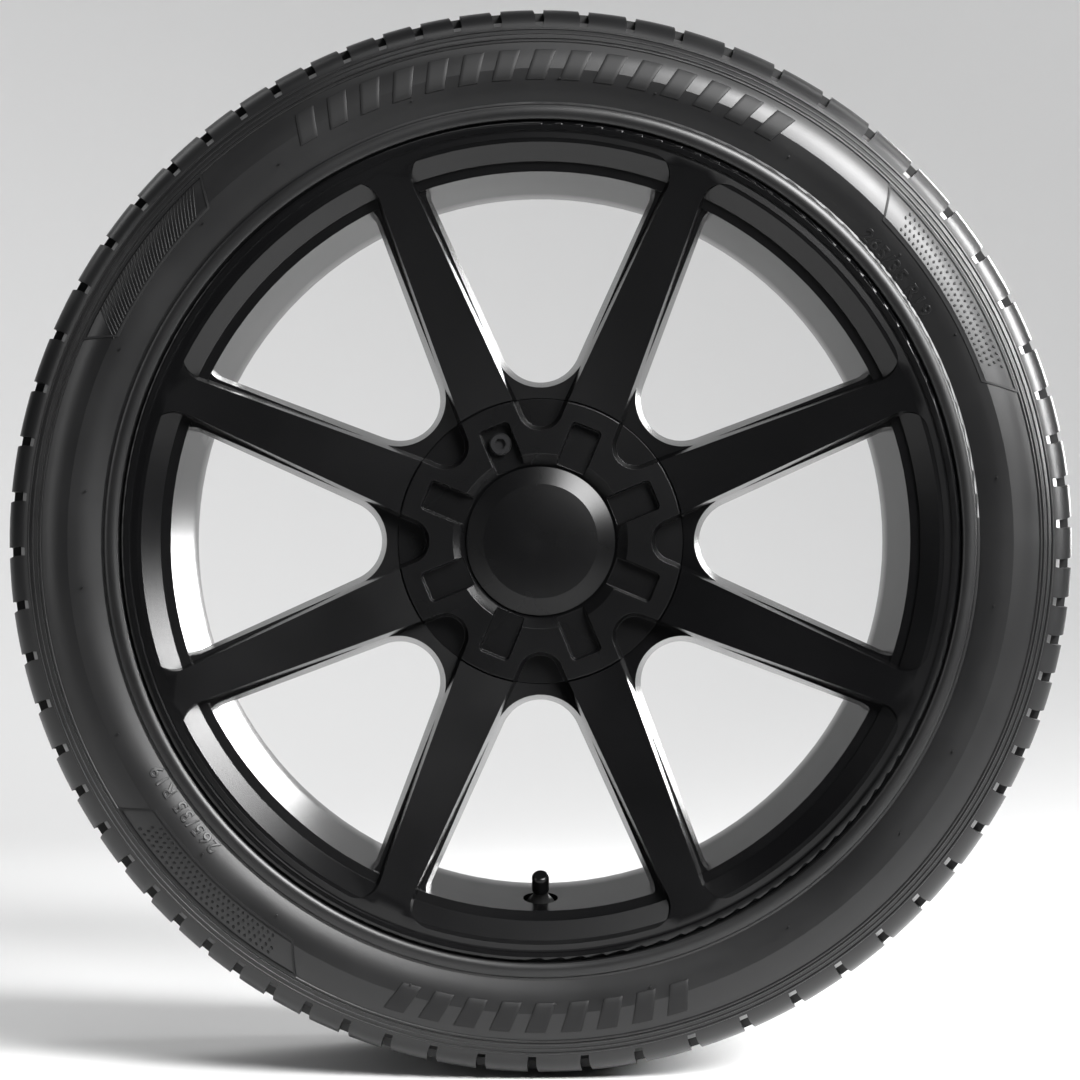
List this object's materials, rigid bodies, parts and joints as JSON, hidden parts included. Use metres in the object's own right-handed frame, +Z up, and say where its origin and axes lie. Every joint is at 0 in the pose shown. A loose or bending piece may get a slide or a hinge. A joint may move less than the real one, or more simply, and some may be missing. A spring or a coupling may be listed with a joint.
{
  "type": "road wheel with tyre",
  "caption": "Complete car road wheel: low-profile directional tyre on a spoked cast alloy wheel with hub cover, centre cap and snap-in valve.",
  "frame": {"origin": "wheel centre: on the spin axis, midway between the two rim flanges and in the middle of the tyre", "axes": "+Y along the spin axis towards the car side, so the show face looks to -Y; +Z up with the valve at the bottom; +X to the right seen from the show face"},
  "size_m": [0.668, 0.271, 0.6678],
  "materials": {
    "tyre_rubber": "matt",
    "wheel_paint": "satin black paint",
    "cover_plastic": "satin",
    "cap_plastic": "satin",
    "screw_steel": "blackened",
    "valve_rubber": "matt",
    "valve_brass": "plain"
  },
  "bodies": {
    "wheel": {"tyre": "tyre_rubber", "alloy_wheel": "wheel_paint", "hub_cover": "cover_plastic", "centre_cap": "cap_plastic", "cover_screw": "screw_steel", "valve_body": "valve_rubber", "valve_tube": "valve_brass", "valve_core": "valve_brass"},
    "core_pin": {"valve_pin": "valve_brass"},
    "cap": {"valve_cap": "cap_plastic", "cap_seal": "valve_rubber"}
  },
  "joints": [
    {"name": "pin_push", "type": "slide", "parent": "wheel", "child": "core_pin", "axis": [0, 0.6294, -0.7771], "range_m": [0, 0.001], "stiffness_N_per_m": 300},
    {"name": "cap_lift", "type": "slide", "parent": "wheel", "child": "cap", "axis": [0, -0.6294, 0.7771], "range_m": [0, 0.015]}
  ]
}
